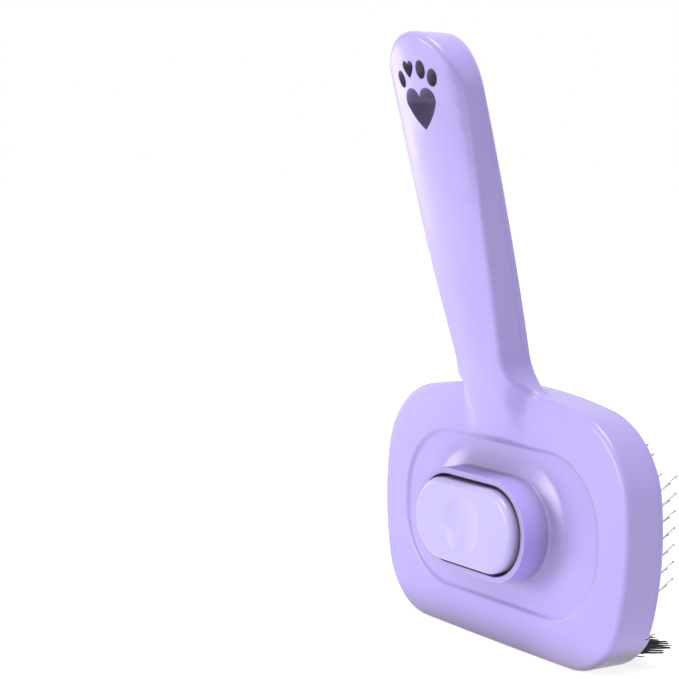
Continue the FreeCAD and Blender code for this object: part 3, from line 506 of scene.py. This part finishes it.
def white_floor():
    """A matt white floor that reads as the white backdrop and still keeps a faint shadow."""
    made, tree = new_material("matt_white_floor")
    place = add(tree, "ShaderNodeTexCoord").outputs["Object"]
    paper = add(tree, "ShaderNodeTexNoise", {"Vector": place, "Scale": 40.0})
    tint = add(
        tree, "ShaderNodeMix",
        {0: paper.outputs["Fac"], 6: linear("EEEEEE"), 7: linear("F2F2F2")}, data_type="RGBA",
    )
    matt = add(tree, "ShaderNodeBsdfDiffuse", {"Color": tint.outputs[2]})
    glow = add(
        tree, "ShaderNodeMath", {0: seen_directly(tree), 1: FLOOR_GLOW}, operation="MULTIPLY",
    )
    light = add(tree, "ShaderNodeEmission", {"Strength": glow.outputs[0]})
    both = add(tree, "ShaderNodeAddShader", {0: matt.outputs[0], 1: light.outputs[0]})
    add(tree, "ShaderNodeOutputMaterial", {"Surface": both.outputs[0]})
    bm = bmesh.new()
    bmesh.ops.create_circle(bm, cap_ends=True, radius=FLOOR_RADIUS, segments=64)
    floor = bpy.data.objects.new("studio_floor", finished_mesh(bm, "studio_floor"))
    floor.data.materials.append(made)
    bpy.context.scene.collection.objects.link(floor)
    floor.location.z = cad_box[0][2]


def white_room(ambient):
    """A room that lights the brush evenly and looks white."""
    world = bpy.data.worlds.new("white_room")
    world.use_nodes = True
    tree = world.node_tree
    tree.nodes.clear()
    strength = add(
        tree, "ShaderNodeMapRange", {"Value": seen_directly(tree), "To Min": ambient, "To Max": 1.0},
    )
    light = add(
        tree, "ShaderNodeBackground", {"Color": (1, 1, 1, 1), "Strength": strength.outputs["Result"]},
    )
    add(tree, "ShaderNodeOutputWorld", {"Surface": light.outputs[0]})
    bpy.context.scene.world = world


def softbox(name, place, aim, size, power):
    """A round soft lamp at a place, turned to a point; its size is in metres and its power in watts."""
    lamp = bpy.data.lights.new(name, "AREA")
    lamp.shape = "DISK"
    lamp.size = size
    lamp.energy = power
    holder = bpy.data.objects.new(name, lamp)
    holder.location = place
    holder.rotation_euler = (Vector(aim) - Vector(place)).to_track_quat("-Z", "Y").to_euler()
    bpy.context.scene.collection.objects.link(holder)


LENS_MM = 95.9
SENSOR_MM = 36.0
CAMERA_PLACE = (0.41554, -0.32755, 0.14627)
CAMERA_RIGHT = (0.55026, 0.83480, 0.01817)
CAMERA_UP = (-0.09773, 0.04277, 0.99429)
CAMERA_BACK = (0.82925, -0.54890, 0.10512)


def studio_camera():
    """Looks at the brush from behind its right side, a little from above."""
    data = bpy.data.cameras.new("studio_camera")
    data.lens = LENS_MM
    data.sensor_width = SENSOR_MM
    holder = bpy.data.objects.new("studio_camera", data)
    turn = Matrix((CAMERA_RIGHT, CAMERA_UP, CAMERA_BACK)).transposed().to_4x4()
    holder.matrix_world = Matrix.Translation(CAMERA_PLACE) @ turn
    bpy.context.scene.collection.objects.link(holder)
    bpy.context.scene.camera = holder


white_floor()
white_room(ambient=0.28)
# the key from behind, a small lamp for the gleam on the rounded edges, the top light, and a low side fill
softbox("back_softbox", (-0.45, -1.05, 0.16), (0, 0, 0.07), 0.40, 5.4)
softbox("edge_strip", (0.38, -1.0, 0.15), (0, 0, 0.08), 0.12, 0.8)
softbox("overhead_softbox", (0.15, -0.02, 1.05), (0, 0, 0.08), 0.45, 7.0)
softbox("side_strip", (-0.42, -0.14, 0.07), (0, -0.01, 0.10), 0.13, 0.20)
studio_camera()
bpy.context.scene.view_settings.view_transform = "Standard"
